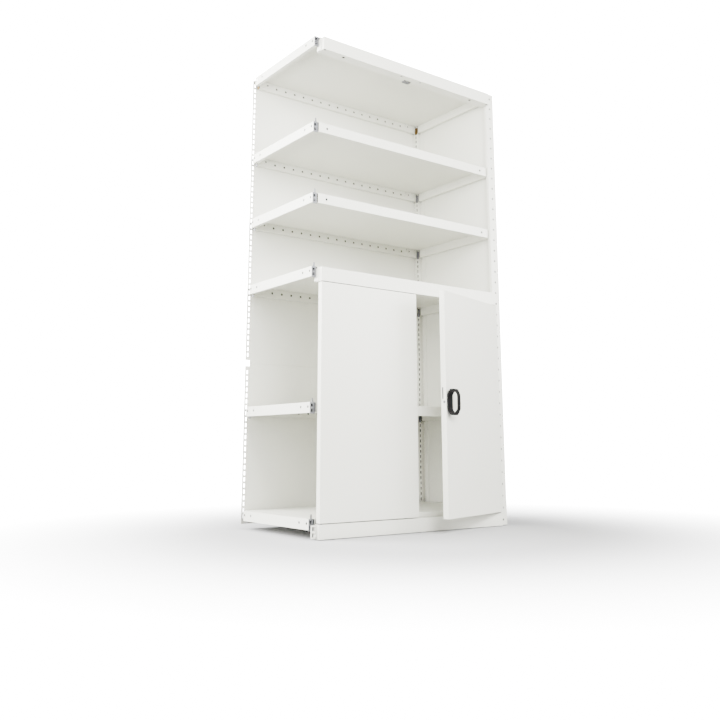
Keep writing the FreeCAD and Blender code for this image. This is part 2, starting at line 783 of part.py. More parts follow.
def stiffener(label, side):
    body = new_body(label)
    middle = f"{-side} * ({FREE_EDGE} - pin_inset) / 2"
    low, high = f"{middle} - stiffener_width / 2", f"{middle} + stiffener_width / 2"
    front, back = f"-{SHEET_IN}", f"-{SHEET_IN} + stiffener_depth"
    section = [
        (low, front), (low, back), (high, back), (high, front), (f"{high} - metal", front),
        (f"{high} - metal", f"{back} - metal"), (f"{low} + metal", f"{back} - metal"),
        (f"{low} + metal", front),
    ]
    add(body, "XY", f"{DOOR_LOW} + stiffener_margin",
        f"{DOOR_HIGH} - {DOOR_LOW} - 2 * stiffener_margin", [section])
    return hang(body, side)


def pins(label, side):
    upper, lower = new_body(f"{label}_upper"), new_body(f"{label}_lower")
    shaft, collar = [("0", "0", "pin_radius")], [("0", "0", "collar_radius")]
    length = "pin_seat + door_gap + pin_reach"
    add(upper, "XY", f"{DOOR_HIGH} - pin_seat", length, circles=shaft)
    add(upper, "XY", f"{DOOR_HIGH} - metal - collar_height", "collar_height", circles=collar)
    add(lower, "XY", f"{DOOR_LOW} - door_gap - pin_reach", length, circles=shaft)
    add(lower, "XY", f"{DOOR_LOW} + metal", "collar_height", circles=collar)
    return group(label, [hang(upper, side), hang(lower, side)])


def bushes(label, flange):
    """Flanged sleeves in the strip's pivot holes, their rims on top of the flange."""
    bush = new_body(f"{label}_right")
    bore = (PIN_X, PIN_Y, "pin_radius + pin_running_gap")
    add(bush, "XY", flange, "metal", circles=[(PIN_X, PIN_Y, "bush_radius"), bore])
    add(bush, "XY", f"{flange} + metal", "bush_rim_height",
        circles=[(PIN_X, PIN_Y, "bush_rim_radius"), bore])
    return both_ends(label, bush)


def closing_strip():
    """Stepped strip on the left door's back that laps behind the right door."""
    body = new_body("closing_strip")
    seat, lap = f"{FREE_EDGE} - strip_seat", f"{FREE_EDGE} + strip_lap"
    near, far = DOOR_FACE, f"{DOOR_FACE} + strip_clear"
    step = f"{FREE_EDGE} + door_meeting_gap / 2"
    section = [
        (seat, near), (step, near), (step, far), (lap, far), (lap, f"{far} + metal"),
        (f"{step} - metal", f"{far} + metal"), (f"{step} - metal", f"{near} + metal"),
        (seat, f"{near} + metal"),
    ]
    add(body, "XY", f"{DOOR_LOW} + strip_margin", f"{DOOR_HIGH} - {DOOR_LOW} - 2 * strip_margin", [section])
    return hang(body, -1)


def strip_rivets():
    count = 6
    heads = []
    span = f"({DOOR_HIGH} - {DOOR_LOW} - 4 * strip_margin)"
    for i in range(count):
        z = f"{DOOR_LOW} + 2 * strip_margin + {span} * {i} / {count - 1}"
        x = f"-{PIN_X} + {FREE_EDGE} - strip_seat / 2"
        heads.append(along_y("rivet", "rivet_radius", "rivet_height", x,
                             f"{PIN_Y} + {DOOR_FACE} + metal + rivet_height", z))
    return group("strip_rivets", heads)


# Handle and lock on the right door

def handle():
    """Bow handle: a strap bent into a long octagon, its inner side against the door."""
    body = new_body("handle")
    base = f"(-{DOOR_FACE} - handle_gap)"

    def ring(near, far, half, run, rise):
        return [
            (near, f"handle_level - {half} + {rise}"), (f"{near} - {run}", f"handle_level - {half}"),
            (f"{far} + {run}", f"handle_level - {half}"), (far, f"handle_level - {half} + {rise}"),
            (far, f"handle_level + {half} - {rise}"), (f"{far} + {run}", f"handle_level + {half}"),
            (f"{near} - {run}", f"handle_level + {half}"), (near, f"handle_level + {half} - {rise}"),
        ]

    outer = ring(base, f"{base} - handle_proud", "handle_height / 2",
                 "handle_chamfer", "handle_chamfer_rise")
    inner = ring(f"{base} - handle_base", f"{base} - handle_proud + handle_bow",
                 "(handle_height / 2 - handle_end)", "(handle_chamfer - handle_bow)",
                 "(handle_chamfer_rise - handle_bow)")
    add(body, "YZ", f"-{HANDLE_X} - handle_width / 2", "handle_width", [outer, inner])
    # the strap narrows from its base to its bow
    back, front = f"{base} - handle_base", f"{base} - handle_proud - overrun"
    wedges = []
    for sign in ("+", "-"):
        wide = f"-{HANDLE_X} {sign} (handle_width / 2 + overrun)"
        wedges.append([(f"-{HANDLE_X} {sign} handle_width / 2", back), (wide, back), (wide, front),
                       (f"-{HANDLE_X} {sign} handle_bow_width / 2", front)])
    cut(body, "XY", "handle_level - handle_height / 2 - overrun", "handle_height + 2 * overrun", wedges)
    return hang(body, 1)


def spindle():
    body = new_body("spindle")
    add(body, "XZ", f"-{DOOR_FACE} - handle_gap", "spindle_length",
        circles=[(f"-{HANDLE_X}", "handle_level", "spindle_radius")])
    return hang(body, 1)


def spindle_bush():
    body = new_body("spindle_bush")
    place = (f"-{HANDLE_X}", "handle_level")
    add(body, "XZ", f"-{DOOR_FACE}", "metal + case_metal",
        circles=[(*place, "spindle_bush_radius"), (*place, "spindle_radius + pin_running_gap")])
    return hang(body, 1)


def lock_cam():
    body = new_body("lock_cam")
    start = f"-{DOOR_FACE} - handle_gap + spindle_length - cam_thickness"
    place = (f"-{HANDLE_X}", "handle_level")
    add(body, "XZ", start, "cam_thickness", circles=[(*place, "cam_radius")])
    add(body, "XZ", start, "cam_thickness",
        [rectangle(place[0], "handle_level - cam_arm_height / 2",
                   f"{place[0]} + cam_arm", "handle_level + cam_arm_height / 2")])
    cut(body, "XZ", f"{start} - overrun", "cam_thickness + 2 * overrun",
        circles=[(*place, "spindle_radius + pin_running_gap")])
    return hang(body, 1)


def lock_case():
    """Channel on the back of the door's face: it carries the spindle, the bolt and the rods' ends."""
    body = new_body("lock_case")
    low, high = "handle_level - case_height / 2", "handle_level + case_height / 2"
    front = f"-{SHEET_IN}"
    section = [
        (front, low), (front, high), (CASE_BACK, high), (CASE_BACK, f"{high} - case_metal"),
        (f"{front} + case_metal", f"{high} - case_metal"), (f"{front} + case_metal", f"{low} + case_metal"),
        (CASE_BACK, f"{low} + case_metal"), (CASE_BACK, low),
    ]
    add(body, "YZ", f"-{CASE_X}", "case_width", [section])
    # the forend stands behind the door's edge and its slit
    top = "handle_level + slit_rise + slit_height + case_metal"
    add(body, "YZ", f"-{CASE_X}", "case_metal", [rectangle(front, low, CASE_BACK, top)])
    cut(body, "YZ", f"-{CASE_X} - overrun", "case_metal + 2 * overrun",
        circles=[("-bolt_forward", "handle_level", "bolt_radius + bolt_gap")])
    cut(body, "XZ", f"{front} - overrun", "case_metal + 2 * overrun",
        circles=[(f"-{HANDLE_X}", "handle_level", "spindle_bush_radius + slip")])
    cut(body, "XY", f"{low} - overrun", "case_height + 2 * overrun",
        circles=[(f"-{ROD_X}", "rod_back", "rod_radius + rod_gap")])
    return hang(body, 1)


def lock_screws():
    screws = []
    for x in (f"-{CASE_X} + case_screw_inset", f"-{CASE_X} + case_width - case_screw_inset"):
        for sign in ("+", "-"):
            screw = new_body("lock_screw")
            add(screw, "XZ", f"-{SHEET_IN} + case_metal", "case_screw_height",
                circles=[(x, f"handle_level {sign} case_screw_rise", "case_screw_radius")])
            screws.append(hang(screw, 1))
    return group("lock_screws", screws)


def latch_bolt():
    body = new_body("latch_bolt")
    add(body, "YZ", f"-{FREE_EDGE} - bolt_proud", "bolt_length",
        circles=[("-bolt_forward", "handle_level", "bolt_radius")])
    return hang(body, 1)


def lock_rod(label, start, length):
    body = new_body(label)
    add(body, "XY", start, length, circles=[(f"-{ROD_X}", "rod_back", "rod_radius")])
    return hang(body, 1)


def rod_guides():
    """Blocks on the door's face, halfway along each rod."""
    guides = []
    for end in (DOOR_HIGH, DOOR_LOW):
        block = new_body("rod_guide")
        middle = f"(handle_level + ({end} - handle_level) * guide_share)"
        place = (f"-{ROD_X}", "rod_back")
        add(block, "XY", f"{middle} - guide_height / 2", "guide_height",
            [rectangle(f"{place[0]} - guide_width / 2", f"-{SHEET_IN}",
                       f"{place[0]} + guide_width / 2", SHEET_IN)])
        cut(block, "XY", f"{middle} - guide_height / 2 - overrun", "guide_height + 2 * overrun",
            circles=[(*place, "rod_radius + rod_gap")])
        guides.append(hang(block, 1))
    return group("rod_guides", guides)


nodes = [
    upright("front_upright", "front_post_depth", True),
    upright("rear_upright", "rear_post_depth", False),
    foot("front_foot", "front_post_depth", True),
    foot("rear_foot", "rear_post_depth", False),
    side_panel(),
    back_panel("lower_back_panel", "back_floor_gap", BACK_JOINT, SHELF_LEVELS[:2], True),
    back_panel("upper_back_panel", f"({BACK_JOINT} + back_joint_gap)", "frame_height", SHELF_LEVELS[2:],
               False),
    back_panel_screws(),
    fascia("top_fascia", TOP_FASCIA, "frame_height"),
    fascia("cabinet_fascia", CABINET_FASCIA, "cabinet_height"),
    fascia_catches(),
    plinth(),
    plinth_pads(),
    fascia_brackets("top_fascia_brackets", TOP_FASCIA),
    fascia_brackets("cabinet_fascia_brackets", CABINET_FASCIA),
    plinth_brackets(),
    bushes("upper_pivot_bushes", CABINET_FASCIA),
    bushes("lower_pivot_bushes", f"({PLINTH_TOP} - metal)"),
]
for number, level in enumerate(SHELF_LEVELS, start=1):
    nodes.append(shelf(f"shelf_{number}", level))
    nodes.append(front_clips(f"shelf_{number}_front_clips", level, level != SHELF_LEVELS[-1]))
    nodes.append(rear_brackets(f"shelf_{number}_rear_brackets", level))
for name, side in (("left_door", -1), ("right_door", 1)):
    panel = door(name, side)
    lock_openings(panel, side)
    nodes += [panel, stiffener(f"{name}_stiffener", side), pins(f"{name}_pins", side)]
nodes += [
    closing_strip(),
    strip_rivets(),
    handle(),
    spindle(),
    spindle_bush(),
    lock_cam(),
    lock_case(),
    lock_screws(),
    latch_bolt(),
    lock_rod("upper_lock_rod", "handle_level + rod_start",
             f"{DOOR_HIGH} - rod_tip_gap - handle_level - rod_start"),
    lock_rod("lower_lock_rod", f"{DOOR_LOW} + rod_tip_gap",
             f"handle_level - rod_start - {DOOR_LOW} - rod_tip_gap"),
    rod_guides(),
]
doc.recompute()

for thing in doc.Objects:
    if "Invalid" in thing.State or "Error" in thing.State:
        raise RuntimeError(f"{thing.Label} did not build: {thing.State}")
    if thing.isDerivedFrom("PartDesign::Pocket") and thing.Shape.Volume >= thing.BaseFeature.Shape.Volume:
        raise RuntimeError(f"{thing.Label} cuts nothing")
for node in nodes:
    if node.Shape.isNull() or not node.Shape.isValid() or not node.Shape.Solids:
        raise RuntimeError(f"{node.Label} is not a valid solid")

os.makedirs("parts", exist_ok=True)
for node in nodes:
    node.Shape.exportStep(f"parts/{node.Label}.step")
print(f"{len(nodes)} parts written")
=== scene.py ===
import json
import math
import bmesh
import bpy
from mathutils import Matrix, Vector


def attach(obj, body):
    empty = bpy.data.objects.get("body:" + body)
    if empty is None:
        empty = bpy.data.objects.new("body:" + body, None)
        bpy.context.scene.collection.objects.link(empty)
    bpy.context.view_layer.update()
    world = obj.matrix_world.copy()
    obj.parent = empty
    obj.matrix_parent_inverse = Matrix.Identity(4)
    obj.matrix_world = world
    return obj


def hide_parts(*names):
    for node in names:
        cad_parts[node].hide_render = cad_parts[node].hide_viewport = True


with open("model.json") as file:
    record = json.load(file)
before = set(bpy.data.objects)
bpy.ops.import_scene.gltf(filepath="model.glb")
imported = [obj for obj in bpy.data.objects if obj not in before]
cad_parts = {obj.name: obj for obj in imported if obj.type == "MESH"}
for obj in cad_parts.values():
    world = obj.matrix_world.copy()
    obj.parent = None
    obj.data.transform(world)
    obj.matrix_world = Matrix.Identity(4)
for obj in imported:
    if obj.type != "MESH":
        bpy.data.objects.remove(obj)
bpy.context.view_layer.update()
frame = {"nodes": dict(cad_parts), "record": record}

nodes = frame["nodes"]
up = Vector((0, 0, 1))
print("frame loaded:", len(nodes), "nodes")

# small helpers for the node trees

def addNode(tree, kind, links=None, **values):
    node = tree.nodes.new(kind)
    for key, value in values.items():
        setattr(node, key, value)
    for socket, source in (links or {}).items():
        if isinstance(source, bpy.types.NodeSocket):
            tree.links.new(source, node.inputs[socket])
        else:
            node.inputs[socket].default_value = source
    return node


def newGroup(name, inputs):
    # each group gives a colour, a roughness and a height that vary over the surface
    group = bpy.data.node_groups.new(name, "ShaderNodeTree")
    color, number = "NodeSocketColor", "NodeSocketFloat"
    for socketName, value in inputs.items():
        kind = color if isinstance(value, tuple) else number
        group.interface.new_socket(socketName, in_out="INPUT", socket_type=kind).default_value = value
    for socketName, kind in (("Color", color), ("Roughness", number), ("Height", number)):
        group.interface.new_socket(socketName, in_out="OUTPUT", socket_type=kind)
    start = group.nodes.new("NodeGroupInput").outputs
    end = group.nodes.new("NodeGroupOutput").inputs
    place = addNode(group, "ShaderNodeTexCoord").outputs["Object"]
    return group, start, end, place


def putOut(group, end, color, roughness, height):
    for socketName, source in (("Color", color), ("Roughness", roughness), ("Height", height)):
        group.links.new(source, end[socketName])


def addNoise(tree, place, scale, detail, roughness=0.5):
    return addNode(tree, "ShaderNodeTexNoise", {
        "Vector": place, "Scale": scale, "Detail": detail, "Roughness": roughness}).outputs["Fac"]


def multiply(tree, first, second):
    return addNode(tree, "ShaderNodeMath", {0: first, 1: second}, operation="MULTIPLY").outputs[0]


def multiplyAdd(tree, value, factor, offset):
    links = {0: value, 1: factor, 2: offset}
    return addNode(tree, "ShaderNodeMath", links, operation="MULTIPLY_ADD").outputs[0]


def remap(tree, value, span, low=0.0, high=1.0):
    return addNode(tree, "ShaderNodeMapRange", {
        "Value": value, "From Min": span[0], "From Max": span[1], "To Min": low, "To Max": high}).outputs[0]


def mixColors(tree, factor, first, second):
    colorA, colorB, mixed = 6, 7, 2  # the Mix node's colour sockets
    links = {"Factor": factor, colorA: first, colorB: second}
    return addNode(tree, "ShaderNodeMix", links, data_type="RGBA").outputs[mixed]


# powder coat: fine orange peel, soft cloudiness, a trace of dust; painted shade: an ambient occlusion mask
# keeps holes, narrow gaps and tight folds nearly black wherever the surface is enclosed
coatAndShadeLook = {
    "peelDetail": 2.0, "peelRoughness": 0.55, "cloudScale": 5.0, "cloudDetail": 5.0, "cloudRoughness": 0.6,
    "cloudSpan": (0.35, 0.75), "fleckScale": 160.0, "fleckDetail": 3.0, "fleckSpan": (0.45, 0.8),
    "fleckLeast": 0.3, "dustRoughening": 0.5, "shadeSamples": 6, "shadeSpan": (0.14, 0.4),
}


def makeCoatAndShadeGroup():
    look = coatAndShadeLook
    group, start, end, place = newGroup("powderCoatAndShade", {
        "Paint": (0.8, 0.8, 0.78, 1), "Dust": (0.6, 0.59, 0.56, 1), "Dust Amount": 0.1, "Peel Scale": 700.0,
        "Roughness": 0.4, "Painted Shade": (0.015, 0.015, 0.015, 1), "Reach": 0.08})
    peel = addNoise(group, place, start["Peel Scale"], look["peelDetail"], look["peelRoughness"])
    cloud = addNoise(group, place, look["cloudScale"], look["cloudDetail"], look["cloudRoughness"])
    fleck = addNoise(group, place, look["fleckScale"], look["fleckDetail"])
    dusty = multiply(group, remap(group, cloud, look["cloudSpan"]),
                     remap(group, fleck, look["fleckSpan"], look["fleckLeast"]))
    amount = multiply(group, dusty, start["Dust Amount"])
    paint = mixColors(group, amount, start["Paint"], start["Dust"])
    rough = multiplyAdd(group, amount, look["dustRoughening"], start["Roughness"])
    # painted shade: where ambient occlusion within the reach is low (holes, narrow gaps between parts,
    # tight folds), the colour turns to the nearly black shade colour instead of the paint
    openness = addNode(group, "ShaderNodeAmbientOcclusion", {"Distance": start["Reach"]},
                       samples=look["shadeSamples"])
    coated = remap(group, openness.outputs["AO"], look["shadeSpan"])
    putOut(group, end, mixColors(group, coated, start["Painted Shade"], paint), rough, peel)
    return group


# zinc plate: crystal spangle, drawn scratches and a cloudy passivation tint
platingLook = {
    "cloudScale": 45.0, "cloudDetail": 4.0, "cloudSpan": (0.4, 0.7), "tintMost": 0.7,
    "drawnStretch": (1.0, 1.0, 0.03), "drawnScale": 2200.0, "drawnDetail": 2.0, "drawnRoughening": 0.2,
}


def makePlatingGroup():
    look = platingLook
    group, start, end, place = newGroup("platedSteel", {
        "Bright": (0.7, 0.7, 0.71, 1), "Dull": (0.45, 0.46, 0.48, 1), "Tint": (0.6, 0.6, 0.62, 1),
        "Spangle Scale": 180.0, "Roughness": 0.35})
    spangle = addNode(group, "ShaderNodeTexVoronoi", {"Vector": place, "Scale": start["Spangle Scale"]})
    crystal = addNode(group, "ShaderNodeSeparateColor", {"Color": spangle.outputs["Color"]}).outputs[0]
    cloud = addNoise(group, place, look["cloudScale"], look["cloudDetail"])
    stretched = addNode(group, "ShaderNodeMapping", {"Vector": place, "Scale": look["drawnStretch"]})
    drawn = addNoise(group, stretched.outputs[0], look["drawnScale"], look["drawnDetail"])
    metal = mixColors(group, crystal, start["Dull"], start["Bright"])
    tint = remap(group, cloud, look["cloudSpan"], high=look["tintMost"])
    rough = multiplyAdd(group, drawn, look["drawnRoughening"], start["Roughness"])
    putOut(group, end, mixColors(group, tint, metal, start["Tint"]), rough, drawn)
    return group


# moulded plastic: spark-eroded grain with a little rubbed shine
mouldLook = {"rubScale": 60.0, "rubDetail": 4.0, "rubSpan": (0.4, 0.7), "rubSmoothing": -0.12}


def makeMouldGroup():
    look = mouldLook
    group, start, end, place = newGroup("mouldedGrain", {
        "Base": (0.02, 0.02, 0.02, 1), "Rubbed": (0.05, 0.05, 0.05, 1), "Grain Scale": 900.0,
        "Roughness": 0.45})
    grain = addNode(group, "ShaderNodeTexVoronoi", {"Vector": place, "Scale": start["Grain Scale"]},
                    feature="SMOOTH_F1")
    rub = remap(group, addNoise(group, place, look["rubScale"], look["rubDetail"]), look["rubSpan"])
    rough = multiplyAdd(group, rub, look["rubSmoothing"], start["Roughness"])
    plastic = mixColors(group, rub, start["Base"], start["Rubbed"])
    putOut(group, end, plastic, rough, grain.outputs["Distance"])
    return group


coatAndShadeGroup = makeCoatAndShadeGroup()
platingGroup = makePlatingGroup()
mouldGroup = makeMouldGroup()
print("shader groups built")

finishSettings = {
    # white paint: its group also paints shade nearly black into holes, narrow gaps and tight folds
    "white_paint": {
        "name": "whiteCoatAndShade", "group": coatAndShadeGroup, "metallic": 0.0, "specular": 0.5, "bump": 0.06,
        "bumpDistance": 0.0004, "look": {
            "Paint": (0.67, 0.67, 0.595, 1), "Dust": (0.5, 0.49, 0.43, 1), "Dust Amount": 0.1,
            "Peel Scale": 650.0, "Roughness": 0.38}},
    "zinc": {
        "name": "zincPlate", "group": platingGroup, "metallic": 0.45, "specular": 0.5, "bump": 0.08,
        "bumpDistance": 0.0003, "look": {
            "Bright": (0.17, 0.173, 0.177, 1), "Dull": (0.11, 0.113, 0.117, 1),
            "Tint": (0.13, 0.135, 0.148, 1), "Spangle Scale": 220.0, "Roughness": 0.34}},
    "yellow_zinc": {
        "name": "yellowPlate", "group": platingGroup, "metallic": 0.85, "specular": 0.3, "bump": 0.08,
        "bumpDistance": 0.0003, "look": {
            "Bright": (0.13, 0.078, 0.018, 1), "Dull": (0.06, 0.033, 0.008, 1),
            "Tint": (0.09, 0.052, 0.02, 1), "Spangle Scale": 220.0, "Roughness": 0.36}},
    "black_plastic": {
        "name": "blackGrip", "group": mouldGroup, "metallic": 0.0, "specular": 0.1, "bump": 0.15,
        "bumpDistance": 0.0003, "look": {
            "Base": (0.0015, 0.0015, 0.0015, 1), "Rubbed": (0.003, 0.003, 0.003, 1), "Grain Scale": 1100.0,
            "Roughness": 0.55}},
    "grey_plastic": {
        "name": "greyMoulding", "group": mouldGroup, "metallic": 0.0, "specular": 0.4, "bump": 0.15,
        "bumpDistance": 0.0003, "look": {
            "Base": (0.07, 0.07, 0.075, 1), "Rubbed": (0.12, 0.12, 0.125, 1), "Grain Scale": 1100.0,
            "Roughness": 0.5}},
}


def makeFinish(settings):
    finish = bpy.data.materials.new(settings["name"])
    finish.use_nodes = True
    tree = finish.node_tree
    shader = tree.nodes["Principled BSDF"].inputs
    shader["Metallic"].default_value = settings["metallic"]
    shader["Specular IOR Level"].default_value = settings["specular"]
    look = addNode(tree, "ShaderNodeGroup", node_tree=settings["group"])
    for key, value in settings["look"].items():
        look.inputs[key].default_value = value
    relief = addNode(tree, "ShaderNodeBump", {
        "Height": look.outputs["Height"], "Strength": settings["bump"],
        "Distance": settings["bumpDistance"]})
    tree.links.new(look.outputs["Color"], shader["Base Color"])
    tree.links.new(look.outputs["Roughness"], shader["Roughness"])
    tree.links.new(relief.outputs["Normal"], shader["Normal"])
    return finish


finishes = {slotName: makeFinish(settings) for slotName, settings in finishSettings.items()}
slotOf = {part["node"]: part["material_slot"] for part in frame["record"]["subparts"]}
for name, part in nodes.items():
    part.data.materials.clear()
    part.data.materials.append(finishes[slotOf[name]])
print("finishes on", len(nodes), "nodes")

# pieces that Blender shapes better than the plain solids
joints = {joint["name"]: joint for joint in frame["record"]["behaviour"]["joints"]}
doorNormal = joints["handle_turn"]["axis"]


def newPiece(name, mesh, node, body):
    piece = bpy.data.objects.new(name, mesh)
    bpy.context.scene.collection.objects.link(piece)
    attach(piece, body)
    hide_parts(node)
    return piece


fasteners = {
    "panelScrewHeads": {
        "node": "back_panel_screws", "body": "bay", "slot": "zinc", "Facing": (0, 1, 0),
        "Head Radius": 0.005, "Head Height": 0.0025, "Shoulder Share": 0.9, "Crown Share": 0.55,
        "Shank Radius": 0.0024, "Shank Length": 0.009, "Recess Width": 0.0011, "Recess Depth": 0.0014,
        "Recessed": True, "Seed": 3},
    "lockScrewHeads": {
        "node": "lock_screws", "body": "right_door", "slot": "zinc",
        "Facing": tuple(-c for c in doorNormal),
        "Head Radius": 0.004, "Head Height": 0.0025, "Shoulder Share": 0.9, "Crown Share": 0.6,
        "Shank Radius": 0.002, "Shank Length": 0.001, "Recess Width": 0.0009, "Recess Depth": 0.0013,
        "Recessed": True, "Seed": 8},
    "stripRivetHeads": {
        "node": "strip_rivets", "body": "left_door", "slot": "white_paint", "Facing": (0, 1, 0),
        "Head Radius": 0.003, "Head Height": 0.0012, "Shoulder Share": 0.85, "Crown Share": 0.45,
        "Shank Radius": 0.0015, "Shank Length": 0.001, "Recess Width": 0.0005, "Recess Depth": 0.0005,
        "Recessed": False, "Seed": 1},
}
headShape = {"sides": 20, "shoulderPart": 0.6, "crownPart": 0.4, "recessReach": 1.1, "mergeDistance": 1e-6}


def islands(name):
    # corner points of each separate solid in a node, its loose triangles sewn together
    mesh = bmesh.new()
    mesh.from_mesh(nodes[name].data)
    bmesh.ops.remove_doubles(mesh, verts=mesh.verts, dist=headShape["mergeDistance"])
    seen = set()
    found = []
    for first in mesh.verts:
        if first in seen:
            continue
        seen.add(first)
        front = [first]
        points = []
        while front:
            vert = front.pop()
            points.append(vert.co.copy())
            for edge in vert.link_edges:
                other = edge.other_vert(vert)
                if other not in seen:
                    seen.add(other)
                    front.append(other)
        found.append(points)
    mesh.free()
    return found


def headSeats(name, facing, headHeight):
    # where each head sits: on the solid's own axis, one head height below its outermost point
    facing = Vector(facing).normalized()
    side = facing.orthogonal().normalized()
    rise = facing.cross(side)
    seats = []
    for points in islands(name):
        seat = facing * (max(p.dot(facing) for p in points) - headHeight)
        for way in (side, rise):
            reach = [p.dot(way) for p in points]
            seat += way * (max(reach) + min(reach)) / 2
        seats.append(seat)
    return sorted(seats, key=lambda seat: (round(seat.z, 5), round(seat.x, 5)))


def makeHeadTree():
    # one head with a shank, set on every point, its cross recess turned at random
    tree = bpy.data.node_groups.new("fastenerHeads", "GeometryNodeTree")
    sizes = ("Head Radius", "Head Height", "Shoulder Share", "Crown Share", "Shank Radius", "Shank Length",
             "Recess Width", "Recess Depth")
    inputs = [("Points", "NodeSocketGeometry")] + [(name, "NodeSocketFloat") for name in sizes] + [
        ("Recessed", "NodeSocketBool"), ("Facing", "NodeSocketVector"), ("Seed", "NodeSocketInt"),
        ("Finish", "NodeSocketMaterial")]
    for name, kind in inputs:
        tree.interface.new_socket(name, in_out="INPUT", socket_type=kind)
    tree.interface.new_socket("Heads", in_out="OUTPUT", socket_type="NodeSocketGeometry")
    start = tree.nodes.new("NodeGroupInput").outputs
    end = tree.nodes.new("NodeGroupOutput").inputs
    sides = headShape["sides"]

    def moved(geometry, rise, turn=0.0):
        along = addNode(tree, "ShaderNodeCombineXYZ", {"Z": rise}).outputs[0]
        return addNode(tree, "GeometryNodeTransform", {
            "Geometry": geometry, "Translation": along, "Rotation": (0, 0, turn)}).outputs[0]

    def cone(low, high, depth):
        return addNode(tree, "GeometryNodeMeshCone", {
            "Vertices": sides, "Radius Top": high, "Radius Bottom": low, "Depth": depth}).outputs["Mesh"]

    shoulderRadius = multiply(tree, start["Head Radius"], start["Shoulder Share"])
    crownRadius = multiply(tree, start["Head Radius"], start["Crown Share"])
    shoulderHeight = multiply(tree, start["Head Height"], headShape["shoulderPart"])
    crownHeight = multiply(tree, start["Head Height"], headShape["crownPart"])
    shoulder = cone(start["Head Radius"], shoulderRadius, shoulderHeight)
    crown = moved(cone(shoulderRadius, crownRadius, crownHeight), shoulderHeight)
    shank = addNode(tree, "GeometryNodeMeshCylinder", {
        "Vertices": sides, "Radius": start["Shank Radius"], "Depth": start["Shank Length"]}).outputs["Mesh"]
    shank = moved(shank, multiply(tree, start["Shank Length"], -0.5))
    body = addNode(tree, "GeometryNodeMeshBoolean", operation="UNION", solver="EXACT")
    for part in (shoulder, crown, shank):
        tree.links.new(part, body.inputs["Mesh 2"])
    barSize = addNode(tree, "ShaderNodeCombineXYZ", {
        "X": multiply(tree, start["Head Radius"], headShape["recessReach"]), "Y": start["Recess Width"],
        "Z": multiply(tree, start["Recess Depth"], 2.0)}).outputs[0]
    bar = addNode(tree, "GeometryNodeMeshCube", {"Size": barSize}).outputs["Mesh"]
    recessed = addNode(tree, "GeometryNodeMeshBoolean", {"Mesh 1": body.outputs["Mesh"]},
                       operation="DIFFERENCE", solver="EXACT")
    for turn in (0, math.pi / 2):
        tree.links.new(moved(bar, start["Head Height"], turn), recessed.inputs["Mesh 2"])
    head = addNode(tree, "GeometryNodeSwitch", {
        "Switch": start["Recessed"], "False": body.outputs["Mesh"], "True": recessed.outputs["Mesh"]},
        input_type="GEOMETRY").outputs[0]
    least, most, drawn = 2, 3, 1  # the Random Value node's number sockets
    spin = addNode(tree, "FunctionNodeRandomValue", {"Seed": start["Seed"], least: 0.0, most: math.pi},
                   data_type="FLOAT").outputs[drawn]
    about = addNode(tree, "FunctionNodeAxisAngleToRotation", {"Axis": (0, 0, 1), "Angle": spin})
    aimed = addNode(tree, "FunctionNodeAlignRotationToVector", {"Vector": start["Facing"]}, axis="Z")
    turned = addNode(tree, "FunctionNodeRotateRotation", {
        "Rotation": aimed.outputs[0], "Rotate By": about.outputs[0]}, rotation_space="LOCAL")
    placed = addNode(tree, "GeometryNodeInstanceOnPoints", {
        "Points": start["Points"], "Instance": head, "Rotation": turned.outputs[0]})
    real = addNode(tree, "GeometryNodeRealizeInstances", {"Geometry": placed.outputs[0]})
    coated = addNode(tree, "GeometryNodeSetMaterial", {
        "Geometry": real.outputs[0], "Material": start["Finish"]})
    tree.links.new(coated.outputs[0], end[0])
    return tree


def makeFasteners(name, settings, tree):
    mesh = bpy.data.meshes.new(name + "Points")
    mesh.from_pydata(headSeats(settings["node"], settings["Facing"], settings["Head Height"]), [], [])
    base = bpy.data.objects.new(name + "Points", mesh)
    bpy.context.scene.collection.objects.link(base)
    modifier = base.modifiers.new("heads", "NODES")
    modifier.node_group = tree
    values = {**settings, "Finish": finishes[settings["slot"]]}
    for item in tree.interface.items_tree:
        if item.in_out == "INPUT" and item.name in values:
            modifier[item.identifier] = values[item.name]
    base.update_tag()
    depsgraph = bpy.context.evaluated_depsgraph_get()
    made = bpy.data.meshes.new_from_object(base.evaluated_get(depsgraph))
    base.modifiers.remove(modifier)
    bpy.data.objects.remove(base)
    newPiece(name, made, settings["node"], settings["body"])
    print(name, len(made.polygons), "faces")


headTree = makeHeadTree()
for name, settings in fasteners.items():
    makeFasteners(name, settings, headTree)

# the bow handle: a moulded strap around an opening, narrower at its bow, with rounded edges
grip = {
    "node": "handle", "body": "handle", "slot": "black_plastic",
    "baseThickness": 0.007, "bowThickness": 0.004, "endThickness": 0.011, "bowWidth": 0.023,
    "cornerRun": 0.013, "cornerRise": 0.024, "innerRun": 0.009, "innerRise": 0.013,
    "roundingShare": 0.45, "arcSteps": 5, "edgeRadius": 0.0014, "edgeSteps": 3, "edgeAngle": 50,
}


def octagon(near, far, half, run, rise):
    # outward from the door along x, upwards along y
    return [Vector(point) for point in (
        (near, rise - half), (near + run, -half), (far - run, -half), (far, rise - half),
        (far, half - rise), (far - run, half), (near + run, half), (near, half - rise))]


def roundedLoop(corners):
    # a closed outline whose corners are eased by short curves
    ease, steps = grip["roundingShare"] / 2, grip["arcSteps"]
    loop = []
    for before, corner, after in zip(corners[-1:] + corners[:-1], corners, corners[1:] + corners[:1]):
        start, end = corner.lerp(before, ease), corner.lerp(after, ease)
        for step in range(steps + 1):
            t = step / steps
            loop.append(start.lerp(corner, t).lerp(corner.lerp(end, t), t))
    return loop


